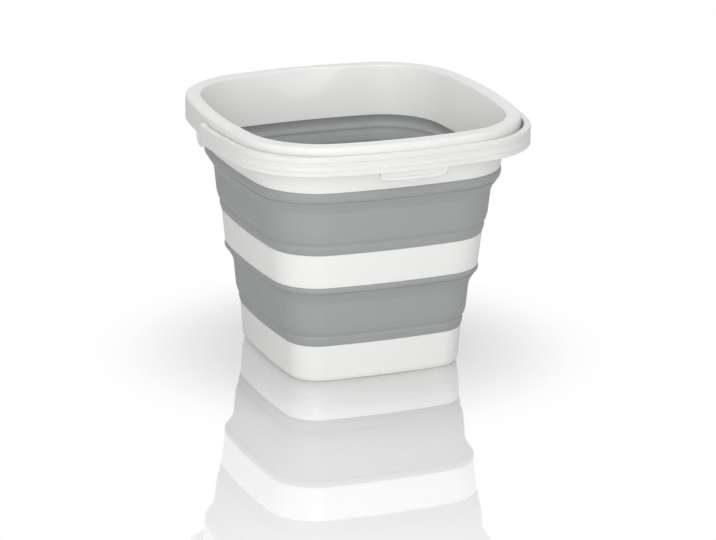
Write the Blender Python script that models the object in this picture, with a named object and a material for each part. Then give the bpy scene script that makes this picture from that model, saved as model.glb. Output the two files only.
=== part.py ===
# Collapsible bucket: a square rigid rim, middle ring and base joined by two soft bellows,
# with a wide band handle that lies round the front of the rim.
# Lengths are in metres. +Z is up, the handle's grip is at -Y and the pouring spout at +Y.
# The bucket stands on z = 0, centred on the origin.

import math
from collections import namedtuple

import bmesh
import bpy
from mathutils import Matrix, Vector

# A plan outline is a rounded square: half its width at the middle of a side, the radius of
# its corners, and the large radius to which each side bulges.
Outline = namedtuple("Outline", "half_width corner_radius side_radius")

# Heights of the five pieces that stand on each other, from the floor up
BASE_HEIGHT = 0.0375
LOWER_BELLOWS_HEIGHT = 0.0630
MIDDLE_RING_HEIGHT = 0.0335
UPPER_BELLOWS_HEIGHT = 0.0660
RIM_HEIGHT = 0.0500

# Heights of the seams between them, above the floor
MIDDLE_RING_BOTTOM = BASE_HEIGHT + LOWER_BELLOWS_HEIGHT
MIDDLE_RING_TOP = MIDDLE_RING_BOTTOM + MIDDLE_RING_HEIGHT
RIM_WALL_BOTTOM = MIDDLE_RING_TOP + UPPER_BELLOWS_HEIGHT
BUCKET_HEIGHT = RIM_WALL_BOTTOM + RIM_HEIGHT

# Outer outlines at the floor, at each seam and at the mouth
FOOT_OUTLINE = Outline(0.0854, 0.0264, 0.880)
BASE_OUTLINE = Outline(0.0929, 0.0314, 0.680)
MIDDLE_BOTTOM_OUTLINE = Outline(0.1079, 0.0455, 0.720)
MIDDLE_TOP_OUTLINE = Outline(0.1116, 0.0484, 0.700)
RIM_BOTTOM_OUTLINE = Outline(0.1275, 0.0622, 0.700)
MOUTH_OUTLINE = Outline(0.1368, 0.0738, 0.454)

# Walls
HARD_WALL = 0.0022
SOFT_WALL = 0.0020
FLOOR_THICKNESS = 0.0030
SEAM_GAP = 0.0003

# Base tray
BASE_EDGE_RISE = 0.0090
BASE_WALL_INSET = 0.0020

# Outer lines of the bellows, from the seam above down. Each point says how far down it lies,
# as a share of the height, and how far in, as a share of the step from seam to seam.
Bellows = namedtuple("Bellows", "collar bend shoulder panel ridge curl groove flange")
UPPER_BELLOWS = Bellows(
    collar=(0.140, 0.100),
    bend=(0.205, 0.330),
    shoulder=(0.335, 0.528),
    panel=(0.705, 0.692),
    ridge=(0.790, 0.785),
    curl=(0.860, 0.900),
    groove=(0.890, 1.020),
    flange=(0.915, 0.972),
)
LOWER_BELLOWS = Bellows(
    collar=(0.090, 0.100),
    bend=(0.150, 0.340),
    shoulder=(0.290, 0.530),
    panel=(0.700, 0.692),
    ridge=(0.770, 0.790),
    curl=(0.845, 0.920),
    groove=(0.880, 1.040),
    flange=(0.910, 0.985),
)

# Lip round the mouth: a flat top that turns down into a skirt
LIP_WIDTH = 0.0144
LIP_THICKNESS = 0.0025
LIP_EDGE = 0.0015
MOUTH_EDGE = 0.0010
SKIRT_HEIGHT = 0.0235
SKIRT_WALL = 0.0020

# Pouring spout: a trough, part of a cone, pressed outwards in the middle of the back wall
SPOUT_HALF_WIDTH = 0.0400
SPOUT_DEPTH = 0.0100
SPOUT_START = 0.0010

# Handle
HANDLE_OUTLINE = Outline(0.1557, 0.0800, 0.520)
HANDLE_THICKNESS = 0.0044
HANDLE_HEIGHT = 0.0206
HANDLE_EDGE = 0.0010
HANDLE_GROOVE_DEPTH = 0.0008
HANDLE_GROOVE_WIDTH = 0.0016
HANDLE_GROOVES = (0.0076, 0.0150)
GRIP_HALF_WIDTH = 0.0360
GRIP_DROP = 0.0072
GRIP_ROUNDING = 3

# Pivots in the middle of the left and right sides, above the skirt's lower edge
PIVOT_RISE = 0.0057
PIVOT_EYE_RADIUS = 0.0113
PIVOT_EYE_PROUD = 0.0005
PEG_RADIUS = 0.0045
PEG_CLEARANCE = 0.0003
PEG_HEAD_RADIUS = 0.0062
PEG_HEAD_LENGTH = 0.0015
EAR_RADIUS = 0.0090
EAR_PROUD = 0.0002
EAR_INNER_PROUD = 0.0012

# Resolution of the plan outlines, the foot's rounding, the rim's wall and the pivots
SIDE_STATIONS = 5
CORNER_STEPS = 8
FOOT_STEPS = 3
WALL_STEPS = 4
PIVOT_SIDES = 32
SHARP_EDGE_DEGREES = 35

WHITE = ("white_polypropylene", (0.86, 0.86, 0.84), 0.32)
GREY = ("grey_soft_polymer", (0.36, 0.39, 0.37), 0.48)


def offset(outline, distance):
    """The outline moved outwards by a distance, everywhere alike."""
    return Outline(*(size + distance for size in outline))


def between(low, high, half_width):
    """The outline of a given half width on the taper from one outline to another."""
    share = (half_width - low.half_width) / (high.half_width - low.half_width)
    return Outline(*(a + (b - a) * share for a, b in zip(low, high)))


def at_height(low, high, low_z, high_z, z):
    """The outline at a height on the taper from one outline to another."""
    share = (z - low_z) / (high_z - low_z)
    return Outline(*(a + (b - a) * share for a, b in zip(low, high)))


def outline_points(outline):
    """Points round an outline, from the middle of the right side, anticlockwise.

    Each side is an arc about a centre on its own axis, and each corner an arc about a centre
    on the diagonal, placed so that the two arcs share a tangent where they meet.
    """
    side_centre = outline.half_width - outline.side_radius
    reach = outline.side_radius - outline.corner_radius
    corner = (side_centre + math.sqrt(2 * reach ** 2 - side_centre ** 2)) / 2
    turn = math.atan2(corner, corner - side_centre)
    side = []
    for station in range(SIDE_STATIONS + 1):
        across = SPOUT_HALF_WIDTH * station / SIDE_STATIONS
        side.append((side_centre + math.sqrt(outline.side_radius ** 2 - across ** 2), across))
    arc = []
    for step in range(CORNER_STEPS + 1):
        angle = turn + (math.pi / 2 - 2 * turn) * step / CORNER_STEPS
        arc.append((corner + outline.corner_radius * math.cos(angle),
                    corner + outline.corner_radius * math.sin(angle)))
    next_side = [(y, x) for x, y in reversed(side[1:])]
    quarter = side + arc + next_side
    points = []
    for turns in range(4):
        spin = Matrix.Rotation(turns * math.pi / 2, 2)
        points.extend(spin @ Vector(point) for point in quarter)
    return points


def ring(outline, z, spout=False):
    """An outline as a ring of points at a height, pressed out at the back by the spout."""
    points = []
    for x, y in outline_points(outline):
        push = spout_push(x, z) if spout and y > 0 else 0.0
        points.append(Vector((x, y + push, z)))
    return points


def spout_push(x, z):
    """How far the spout presses the back wall outwards.

    The trough grows evenly from nothing at its point to its full size at the mouth, and
    each level section of it is a circular arc.
    """
    growth = (z - RIM_WALL_BOTTOM - SPOUT_START) / (RIM_HEIGHT - SPOUT_START)
    half_width = SPOUT_HALF_WIDTH * growth
    if growth <= 0 or abs(x) >= half_width:
        return 0.0
    depth = SPOUT_DEPTH * growth
    radius = (half_width ** 2 + depth ** 2) / (2 * depth)
    return math.sqrt(radius ** 2 - x ** 2) - (radius - depth)


def front_half(points):
    """The part of a ring in front of the pivots, from the left pivot to the right one."""
    front = [point for point in points if point.y < 1e-6]
    return sorted(front, key=lambda point: math.atan2(point.x, -point.y))


def loft(name, rings, closed_section, closed_ring=True):
    """A solid through rings of points that match one to one.

    A closed section joins the last ring to the first, and otherwise the first and last rings
    are filled as flat ends. Rings that aren't closed have their two ends filled instead.
    """
    build = bmesh.new()
    grid = [[build.verts.new(point) for point in points] for points in rings]
    rows = len(grid)
    columns = len(grid[0])
    for row in range(rows if closed_section else rows - 1):
        here = grid[row]
        after = grid[(row + 1) % rows]
        for column in range(columns if closed_ring else columns - 1):
            along = (column + 1) % columns
            build.faces.new((here[column], here[along], after[along], after[column]))
    if not closed_section:
        build.faces.new(grid[0])
        build.faces.new(grid[-1])
    if not closed_ring:
        build.faces.new([line[0] for line in grid])
        build.faces.new([line[-1] for line in grid])
    bmesh.ops.recalc_face_normals(build, faces=build.faces)
    mesh = bpy.data.meshes.new(name)
    build.to_mesh(mesh)
    build.free()
    return mesh


def cylinder_along_x(name, radius, low_x, high_x, z):
    """A closed cylinder whose axis lies along X at y = 0."""
    build = bmesh.new()
    place = Matrix.Translation(((low_x + high_x) / 2, 0, z)) @ Matrix.Rotation(math.pi / 2, 4, "Y")
    bmesh.ops.create_cone(build, cap_ends=True, segments=PIVOT_SIDES, radius1=radius,
                          radius2=radius, depth=high_x - low_x, matrix=place)
    mesh = bpy.data.meshes.new(name)
    build.to_mesh(mesh)
    build.free()
    return mesh


def material(name, colour, roughness):
    """A moulded plastic of one colour."""
    made = bpy.data.materials.get(name)
    if made is None:
        made = bpy.data.materials.new(name)
        made.use_nodes = True
        shader = made.node_tree.nodes["Principled BSDF"]
        shader.inputs["Base Color"].default_value = (*colour, 1.0)
        shader.inputs["Roughness"].default_value = roughness
    return made


def add_part(name, mesh, finish, origin=(0, 0, 0)):
    """A piece of the bucket, with its origin on its joint."""
    mesh.transform(Matrix.Translation(-Vector(origin)))
    mesh.materials.append(material(*finish))
    mesh.shade_smooth()
    mesh.set_sharp_from_angle(angle=math.radians(SHARP_EDGE_DEGREES))
    piece = bpy.data.objects.new(name, mesh)
    piece.location = origin
    parts.objects.link(piece)
    return piece


def add_tool(name, mesh):
    """A shape that only cuts or joins other pieces."""
    tool = bpy.data.objects.new(name, mesh)
    tool.hide_render = True
    tool.display_type = "WIRE"
    tools.objects.link(tool)
    return tool


def combine(piece, tool, operation):
    """Join a tool's shape to a piece, or cut it out of the piece."""
    step = piece.modifiers.new(tool.name, "BOOLEAN")
    step.operation = operation
    step.object = tool
    step.solver = "EXACT"


def make_base_tray():
    """The rigid tray the bucket stands on: a flat floor and low walls with rounded feet."""
    wall_foot = offset(BASE_OUTLINE, -BASE_WALL_INSET)
    edge_run = wall_foot.half_width - FOOT_OUTLINE.half_width

    def on_foot(angle):
        """The outline and height at an angle round the foot's quarter ellipse."""
        half_width = FOOT_OUTLINE.half_width + edge_run * math.sin(angle)
        height = BASE_EDGE_RISE * (1 - math.cos(angle))
        return between(FOOT_OUTLINE, wall_foot, half_width), height

    rings = []
    for step in range(FOOT_STEPS + 1):
        rings.append(ring(*on_foot(math.pi / 2 * step / FOOT_STEPS)))
    top = BASE_HEIGHT - SEAM_GAP / 2
    rings.append(ring(BASE_OUTLINE, top))
    rings.append(ring(offset(BASE_OUTLINE, -HARD_WALL), top))
    for angle in (math.pi / 2, math.pi / 4, 0):
        outline, height = on_foot(angle)
        rise = FLOOR_THICKNESS * (1 - math.sin(angle) / 2)
        rings.append(ring(offset(outline, -HARD_WALL), height + rise))
    mesh = loft("base_tray", rings, closed_section=False)
    return add_part("base_tray", mesh, WHITE)


def make_bellows(name, shape, low, high, low_z, high_z):
    """A soft wall that folds down between two rigid pieces.

    The plan at each point of its line is the one of that half width on the taper between
    the two seams. The inner line is one wall thickness further in. It has no ridge and no
    groove.
    """
    height = high_z - low_z
    total_inset = high.half_width - low.half_width

    def on_line(point):
        """The outline and height at a point of the line."""
        down, inwards = point
        return between(low, high, high.half_width - total_inset * inwards), high_z - height * down

    top = (high, high_z - SEAM_GAP / 2)
    bottom = (low, low_z + SEAM_GAP / 2)
    outer_line = [top] + [on_line(point) for point in shape] + [bottom]
    inner_points = (shape.collar, shape.bend, shape.shoulder, shape.panel, shape.curl, shape.flange)
    inner_line = [top] + [on_line(point) for point in inner_points] + [bottom]
    rings = [ring(outline, z) for outline, z in outer_line]
    rings += [ring(offset(outline, -SOFT_WALL), z) for outline, z in reversed(inner_line)]
    mesh = loft(name, rings, closed_section=True)
    return add_part(name, mesh, GREY)


def make_middle_ring():
    """The rigid band between the two bellows."""
    top = MIDDLE_RING_TOP - SEAM_GAP / 2
    bottom = MIDDLE_RING_BOTTOM + SEAM_GAP / 2
    rings = [
        ring(MIDDLE_TOP_OUTLINE, top),
        ring(MIDDLE_BOTTOM_OUTLINE, bottom),
        ring(offset(MIDDLE_BOTTOM_OUTLINE, -HARD_WALL), bottom),
        ring(offset(MIDDLE_TOP_OUTLINE, -HARD_WALL), top),
    ]
    mesh = loft("middle_ring", rings, closed_section=True)
    return add_part("middle_ring", mesh, WHITE)


def lip_outline():
    """The outer outline of the lip's skirt."""
    return offset(MOUTH_OUTLINE, LIP_WIDTH - HARD_WALL)


def pivot_height():
    """The height of the pivots above the floor."""
    return BUCKET_HEIGHT - SKIRT_HEIGHT + PIVOT_RISE


def make_rim_frame():
    """The rigid top wall, its spout, and the lip that turns out and down round the mouth."""
    under_lip = BUCKET_HEIGHT - LIP_THICKNESS
    levels = [RIM_WALL_BOTTOM + SEAM_GAP / 2]
    for step in range(WALL_STEPS):
        levels.append(RIM_WALL_BOTTOM + SPOUT_START + (RIM_HEIGHT - SPOUT_START) * step / WALL_STEPS)
    wall_ends = (RIM_BOTTOM_OUTLINE, MOUTH_OUTLINE, RIM_WALL_BOTTOM, BUCKET_HEIGHT)
    rings = []
    for z in levels + [BUCKET_HEIGHT - MOUTH_EDGE]:
        rings.append(ring(offset(at_height(*wall_ends, z), -HARD_WALL), z, spout=True))
    rings.append(ring(offset(MOUTH_OUTLINE, MOUTH_EDGE - HARD_WALL), BUCKET_HEIGHT, spout=True))
    skirt = lip_outline()
    skirt_bottom = BUCKET_HEIGHT - SKIRT_HEIGHT
    rings.append(ring(offset(skirt, -LIP_EDGE), BUCKET_HEIGHT))
    rings.append(ring(skirt, BUCKET_HEIGHT - LIP_EDGE))
    rings.append(ring(skirt, skirt_bottom))
    rings.append(ring(offset(skirt, -SKIRT_WALL), skirt_bottom))
    rings.append(ring(offset(skirt, -SKIRT_WALL), under_lip))
    for z in [under_lip] + levels[::-1]:
        rings.append(ring(at_height(*wall_ends, z), z, spout=True))
    mesh = loft("rim_frame", rings, closed_section=True)
    frame = add_part("rim_frame", mesh, WHITE)
    outer = skirt.half_width + EAR_PROUD
    inner = skirt.half_width - SKIRT_WALL - EAR_INNER_PROUD
    hole = PEG_RADIUS + PEG_CLEARANCE
    height = pivot_height()
    for side, sign in (("left", -1), ("right", 1)):
        low_x, high_x = sorted((sign * inner, sign * outer))
        ear = cylinder_along_x(f"{side}_ear", EAR_RADIUS, low_x, high_x, height)
        combine(frame, add_tool(f"{side}_ear", ear), "UNION")
        low_x, high_x = sorted((sign * (inner - PEG_HEAD_LENGTH), sign * (outer + PEG_HEAD_LENGTH)))
        bore = cylinder_along_x(f"{side}_bore", hole, low_x, high_x, height)
        combine(frame, add_tool(f"{side}_bore", bore), "DIFFERENCE")
    return frame


def grip_drop(x):
    """How far the band's lower edge hangs below its level line at the grip.

    The grip's edge is half of a rounded rectangle, a superellipse.
    """
    share = min(abs(x) / GRIP_HALF_WIDTH, 1)
    return GRIP_DROP * (1 - share ** GRIP_ROUNDING) ** (1 / GRIP_ROUNDING)


def make_handle():
    """The band handle: a flat band with two grooves, a grip in front and an eye at each end."""
    height = pivot_height()
    top = height + HANDLE_HEIGHT / 2
    bottom = top - HANDLE_HEIGHT
    line = [(0, top - HANDLE_EDGE)]
    for below_top in HANDLE_GROOVES:
        groove = top - below_top
        line.append((0, groove + HANDLE_GROOVE_WIDTH / 2))
        line.append((HANDLE_GROOVE_DEPTH, groove))
        line.append((0, groove - HANDLE_GROOVE_WIDTH / 2))
    line.append((0, bottom + HANDLE_EDGE))
    line.append((HANDLE_EDGE, bottom))
    line.append((HANDLE_THICKNESS - HANDLE_EDGE, bottom))
    line.append((HANDLE_THICKNESS, bottom + HANDLE_EDGE))
    line.append((HANDLE_THICKNESS, top - HANDLE_EDGE))
    line.append((HANDLE_THICKNESS - HANDLE_EDGE, top))
    line.append((HANDLE_EDGE, top))
    rings = []
    for depth, z in line:
        points = front_half(ring(offset(HANDLE_OUTLINE, -depth), z))
        for point in points:
            if z <= bottom + HANDLE_EDGE and point.y < -abs(point.x):
                point.z -= grip_drop(point.x)
        rings.append(points)
    mesh = loft("handle", rings, closed_section=True, closed_ring=False)
    handle = add_part("handle", mesh, WHITE, origin=(0, 0, height))
    eye_outer = HANDLE_OUTLINE.half_width + PIVOT_EYE_PROUD
    eye_inner = HANDLE_OUTLINE.half_width - HANDLE_THICKNESS - PIVOT_EYE_PROUD
    ear_inner = lip_outline().half_width - SKIRT_WALL - EAR_INNER_PROUD
    head_outer = ear_inner - PEG_CLEARANCE
    head_inner = head_outer - PEG_HEAD_LENGTH
    shapes = (
        ("eye", PIVOT_EYE_RADIUS, eye_inner, eye_outer),
        ("peg", PEG_RADIUS, (head_inner + head_outer) / 2, (eye_inner + eye_outer) / 2),
        ("peg_head", PEG_HEAD_RADIUS, head_inner, head_outer),
    )
    for side, sign in (("left", -1), ("right", 1)):
        for shape, radius, inner, outer in shapes:
            low_x, high_x = sorted((sign * inner, sign * outer))
            solid = cylinder_along_x(f"{side}_{shape}", radius, low_x, high_x, height)
            combine(handle, add_tool(f"{side}_{shape}", solid), "UNION")
    return handle


for old in list(bpy.data.objects):
    bpy.data.objects.remove(old)

parts = bpy.data.collections.new("collapsible_bucket")
tools = bpy.data.collections.new("cutters")
bpy.context.scene.collection.children.link(parts)
bpy.context.scene.collection.children.link(tools)

make_base_tray()
make_bellows("lower_bellows", LOWER_BELLOWS, BASE_OUTLINE, MIDDLE_BOTTOM_OUTLINE,
             BASE_HEIGHT, MIDDLE_RING_BOTTOM)
make_middle_ring()
make_bellows("upper_bellows", UPPER_BELLOWS, MIDDLE_TOP_OUTLINE, RIM_BOTTOM_OUTLINE,
             MIDDLE_RING_TOP, RIM_WALL_BOTTOM)
make_rim_frame()
make_handle()
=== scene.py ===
# %% [markdown]
# # A collapsible bucket
#
# The real object is a square camping bucket that presses flat. Three stiff white mouldings,
# the base, the middle band and the rim, are joined by two soft grey bellows, and a white band
# handle lies round the front of the rim.
#
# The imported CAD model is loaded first. It stays where it is, as a hidden frame for collision
# and joints, and each of its six pieces gets a finer surface with a moulded finish.

import bmesh
import bpy
import numpy as np
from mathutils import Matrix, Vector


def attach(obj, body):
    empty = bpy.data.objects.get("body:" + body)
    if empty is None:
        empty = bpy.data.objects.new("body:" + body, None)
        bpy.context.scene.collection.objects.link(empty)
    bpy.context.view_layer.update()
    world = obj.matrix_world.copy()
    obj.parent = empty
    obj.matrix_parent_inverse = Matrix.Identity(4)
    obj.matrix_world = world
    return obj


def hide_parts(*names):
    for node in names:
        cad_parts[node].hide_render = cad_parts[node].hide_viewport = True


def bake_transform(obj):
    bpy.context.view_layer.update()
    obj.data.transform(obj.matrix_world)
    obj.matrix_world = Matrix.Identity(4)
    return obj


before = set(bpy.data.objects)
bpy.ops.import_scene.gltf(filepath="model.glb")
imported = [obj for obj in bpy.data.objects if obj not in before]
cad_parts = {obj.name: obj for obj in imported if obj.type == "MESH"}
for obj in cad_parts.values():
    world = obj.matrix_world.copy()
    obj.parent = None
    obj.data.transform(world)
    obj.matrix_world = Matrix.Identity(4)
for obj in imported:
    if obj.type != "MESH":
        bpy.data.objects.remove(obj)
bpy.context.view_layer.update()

# %% [markdown]
# ## One plan for every piece
#
# Cut level anywhere, the bucket is a rounded square whose sides bulge a little. Three numbers
# describe such a plan: half the width at the middle of a side, the radius of the corners and
# the large radius of the sides. The plans at the floor, at each seam and at the mouth are
# below. A wall is a blend of the plans at its two ends, and a wall's thickness is the same
# number added to all three, because arcs with one centre stay parallel.

# %% Plans and heights in metres
FOOT = np.array([0.0854, 0.0264, 0.880])
BASE_TOP = np.array([0.0929, 0.0314, 0.680])
MIDDLE_LOW = np.array([0.1079, 0.0455, 0.720])
MIDDLE_HIGH = np.array([0.1116, 0.0484, 0.700])
RIM_LOW = np.array([0.1275, 0.0622, 0.700])
MOUTH = np.array([0.1368, 0.0738, 0.454])
HANDLE_PLAN = np.array([0.1557, 0.0800, 0.520])

BASE_SEAM = 0.0375
MIDDLE_LOW_SEAM = 0.1005
MIDDLE_HIGH_SEAM = 0.1340
RIM_SEAM = 0.2000
TOP = 0.2500
SEAM_GAP = 0.00006
print("seams at", BASE_SEAM, MIDDLE_LOW_SEAM, MIDDLE_HIGH_SEAM, RIM_SEAM)

# %% [markdown]
# ## Walking round the plan
#
# The walk starts in the middle of the right side and goes anticlockwise. Each quarter is half
# a side, a corner and half of the next side. Where a side has a feature with its own edge,
# such as the spout, the stations of that side bunch up at the edge, so that the crease runs
# along the mesh and not across it.

# %% Walk round a rounded square
SIDE_STATIONS = 30
CORNER_STATIONS = 36
EDGE_STATIONS = 18
QUARTER = 2 * SIDE_STATIONS + CORNER_STATIONS
BACK_SIDE = 1
FRONT_SIDE = 3


def stations_across(end, edge=None):
    """Distances from a side's middle to its end, one row for each level.

    Without an edge they are even. With one, the first stations go out to the edge as the sine
    of an even angle, and the rest go on to the end as one minus its cosine, so both bunch up.
    """
    if edge is None:
        return end * np.linspace(0, 1, SIDE_STATIONS + 1)
    inner = edge * np.sin(np.linspace(0, np.pi / 2, EDGE_STATIONS + 1))
    share = 1 - np.cos(np.linspace(0, np.pi / 2, SIDE_STATIONS - EDGE_STATIONS + 1)[1:])
    return np.hstack([inner, edge + (end - edge) * share])


def walk_round(plans, edge=None, edge_side=None):
    """Points and outward directions round rounded squares, one row for each plan.

    A side is an arc of the side radius about a point on its own axis, a corner is an arc of
    the corner radius about a point on the diagonal, and the two share a tangent. The diagonal
    point is half the sum of the side's centre and the root of twice the squared difference of
    the radii less the squared centre.
    """
    plans = np.atleast_2d(plans)
    half, corner, side = (plans[:, k:k + 1] for k in range(3))
    centre = half - side
    diagonal = (centre + np.sqrt(2 * (side - corner) ** 2 - centre ** 2)) / 2
    turn = np.arctan2(diagonal, diagonal - centre)
    even = stations_across(side * np.sin(turn))
    bunched = even if edge is None else stations_across(side * np.sin(turn), edge)
    angle = turn + (np.pi / 2 - 2 * turn) * np.linspace(0, 1, CORNER_STATIONS + 1)[:-1]
    quarters = []
    for quarter in range(4):
        leaving = (bunched if quarter == edge_side else even)[:, :-1]
        coming = (bunched if (quarter + 1) % 4 == edge_side else even)[:, :0:-1]
        out_x = np.hstack([np.sqrt(side ** 2 - leaving ** 2) / side, np.cos(angle), coming / side])
        out_y = np.hstack([leaving / side, np.sin(angle), np.sqrt(side ** 2 - coming ** 2) / side])
        x = np.hstack([centre + side * out_x[:, :SIDE_STATIONS],
                       diagonal + corner * np.cos(angle), coming])
        y = np.hstack([leaving, diagonal + corner * np.sin(angle),
                       centre + side * out_y[:, -SIDE_STATIONS:]])
        cos, sin = ((1, 0), (0, 1), (-1, 0), (0, -1))[quarter]
        quarters.append((cos * x - sin * y, sin * x + cos * y,
                         cos * out_x - sin * out_y, sin * out_x + cos * out_y))
    return tuple(np.hstack(rows) for rows in zip(*quarters))


around = walk_round(MOUTH)[0]
print("stations round a plan:", around.shape[1])

# %% [markdown]
# ## From a grid of points to a closed piece
#
# Every piece is a grid: rows follow its section, columns go round the bucket. A wall's section
# is a loop, out along one face and back along the other. A tray's section is a line from the
# middle of the underside to the middle of the floor, with one point at each end. The grid's
# signed volume says whether its faces look outwards, and turns them if they don't.

# %% Make a piece from a grid
SMOOTH_UP_TO = np.radians(38)


def grid_faces(rows, columns, loop, ring):
    """Four-sided faces between neighbours in a grid that may close on itself either way."""
    row = np.arange(rows if loop else rows - 1)[:, None]
    column = np.arange(columns if ring else columns - 1)[None, :]
    next_row = (row + 1) % rows
    next_column = (column + 1) % columns
    corners = [row * columns + column, row * columns + next_column,
               next_row * columns + next_column, next_row * columns + column]
    return np.stack(corners, axis=-1).reshape(-1, 4)


def signed_volume(points, faces):
    """A sixth of the sum of triple products over a fan of triangles in each face."""
    a, b, c = points[faces[:, 0]], points[faces[:, 1]], points[faces[:, 2]]
    volume = np.einsum("ij,ij->", a, np.cross(b, c))
    if faces.shape[1] == 4:
        d = points[faces[:, 3]]
        volume += np.einsum("ij,ij->", a, np.cross(c, d))
    return volume / 6


def piece_from_grid(name, grid, loop=True, ring=True, poles=False, caps=False):
    """A mesh object through a grid of points of shape (rows, columns, 3).

    Poles replace the first and last rows by single points, and caps fill the first and last
    columns of a grid that isn't a ring.
    """
    rows, columns = grid.shape[:2]
    if poles:
        ends = np.vstack([grid[0].mean(axis=0), grid[-1].mean(axis=0)])
        body = grid[1:-1]
        rows -= 2
        points = np.vstack([body.reshape(-1, 3), ends])
        column = np.arange(columns)
        after = (column + 1) % columns
        top = (rows - 1) * columns
        first = np.stack([np.full(columns, rows * columns), after, column], axis=-1)
        last = np.stack([np.full(columns, rows * columns + 1), top + column, top + after], axis=-1)
        fans = [first, last]
    else:
        points = grid.reshape(-1, 3)
        fans = []
    quads = grid_faces(rows, columns, loop, ring)
    volume = signed_volume(points, quads) + sum(signed_volume(points, fan) for fan in fans)
    faces = quads.tolist() + [face for fan in fans for face in fan.tolist()]
    if caps:
        line = np.arange(rows) * columns
        faces += [line.tolist(), (line + columns - 1)[::-1].tolist()]
    if volume < 0:
        faces = [face[::-1] for face in faces]
    mesh = bpy.data.meshes.new(name)
    mesh.from_pydata(points.tolist(), [], faces)
    piece = bpy.data.objects.new(name, mesh)
    bpy.context.scene.collection.objects.link(piece)
    finish_mesh(piece)
    return piece


def finish_mesh(piece):
    """Faces outwards, smooth shading with sharp creases, and a printed count."""
    work = bmesh.new()
    work.from_mesh(piece.data)
    bmesh.ops.recalc_face_normals(work, faces=work.faces)
    work.to_mesh(piece.data)
    work.free()
    piece.data.shade_smooth()
    piece.data.set_sharp_from_angle(angle=SMOOTH_UP_TO)
    piece.data.calc_loop_triangles()
    print(piece.name, len(piece.data.loop_triangles), "triangles")


def wall_grid(plans, heights, **edge):
    """A grid whose rows are plans at given heights."""
    x, y = walk_round(plans, **edge)[:2]
    return np.stack([x, y, np.broadcast_to(np.reshape(heights, (-1, 1)), x.shape)], axis=-1)


# %% [markdown]
# ## Four small sums for soft shapes
#
# No moulded edge is a knife edge, and no moulded hollow starts with a kink. A quarter turn
# joins two straight runs of a section, a bell makes a bead or a valley, and an ease goes from
# nothing to all without a kink. A plan between two others blends their three numbers.

# %% Quarter turn, bell, ease and blend
def quarter_turn(radius, start_degrees, end_degrees, steps=5):
    """Points on a circle: radius times the cosine and sine of even angles, in two arrays."""
    angle = np.radians(np.linspace(start_degrees, end_degrees, steps))
    return radius * np.cos(angle), radius * np.sin(angle)


def bell(distance, width):
    """One in the middle, falling off to both sides: e to minus the square of their ratio."""
    return np.exp(-(distance / width) ** 2)


def ease(value, start, end):
    """From 0 at the start to 1 at the end: three squares of the share less two cubes."""
    share = np.clip((value - start) / (end - start), 0, 1)
    return share * share * (3 - 2 * share)


def blend_plans(low, high, share):
    """Plans between two others: each number goes evenly from one to the other."""
    share = np.reshape(share, (-1, 1))
    return low + (high - low) * share


# %% [markdown]
# ## The base
#
# The base is a shallow stiff tray. Its wall leans out as it rises, its foot is rounded like a
# quarter of an ellipse, and its edges are soft. The section runs from the middle of the
# underside, out round the foot, up the wall, over the top edge and back down to the middle of
# the floor, so the whole tray is one closed skin. The underside is hollow by less than a
# millimetre, so that the tray stands on its edge.

# %% Base
WALL = 0.0022
FLOOR = 0.0030
FOOT_RISE = 0.0090
FOOT_TOP_INSET = 0.0020
FOOT_ROWS = 14
TRAY_ROWS = 12
EDGE = 0.0003
FLAT_SHARES = np.array([0.01, 0.05, 0.3, 0.6, 0.9, 0.96])
UNDERSIDE_HEIGHTS = np.array([0.0008, 0.0008, 0.0008, 0.0008, 0.0008, 0.0002])


def tray_section():
    """Plans and heights of the tray's rows, from the middle of the underside to the floor's.

    The foot follows a quarter ellipse: the half width grows with the sine of an angle and the
    height with one minus its cosine. The inner face repeats it one wall further in.
    """
    foot_top = BASE_TOP - FOOT_TOP_INSET
    angle = np.linspace(0, np.pi / 2, FOOT_ROWS)
    foot = blend_plans(FOOT, foot_top, np.sin(angle))
    foot_z = FOOT_RISE * (1 - np.cos(angle))
    inner_foot_z = foot_z + FLOOR * (1 - np.sin(angle) / 2)
    rim_z = BASE_SEAM - SEAM_GAP
    climb = np.linspace(0, 1, TRAY_ROWS)[1:]
    wall_z = FOOT_RISE + (rim_z - EDGE - FOOT_RISE) * climb
    wall = blend_plans(foot_top, BASE_TOP, (wall_z - FOOT_RISE) / (BASE_SEAM - FOOT_RISE))
    out, up = quarter_turn(EDGE, 0, 90)
    outer_edge = BASE_TOP + (out - EDGE)[:, None]
    inner_edge = BASE_TOP - WALL + (EDGE - out[::-1])[:-1, None]
    edge_z = rim_z - EDGE + up
    flat = FLAT_SHARES[:, None]
    plans = np.vstack([FOOT * flat, foot, wall, outer_edge[1:], inner_edge,
                       wall[::-1] - WALL, foot[::-1] - WALL, (FOOT - WALL) * flat[::-1]])
    heights = np.concatenate([UNDERSIDE_HEIGHTS, foot_z, wall_z, edge_z[1:], edge_z[:0:-1],
                              wall_z[::-1], inner_foot_z[::-1],
                              np.full(len(FLAT_SHARES), FLOOR)])
    return plans, heights


base_shell = piece_from_grid("base_shell", wall_grid(*tray_section()), loop=False, poles=True)

# %% [markdown]
# ## The bellows
#
# Each bellows is moulded onto the stiff piece above it and onto the one below. From the top it
# has a short collar that swells a little, a thin dark valley where it folds, a shoulder, a
# long even panel, a small ledge and a flange. That outer line is worked out as one number, how
# far in the wall stands, for each height, and smoothed so that it looks moulded. The inner
# line is one wall further in and softer. Behind the valley it has a low bead, so that the wall
# isn't thinned there.

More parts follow.
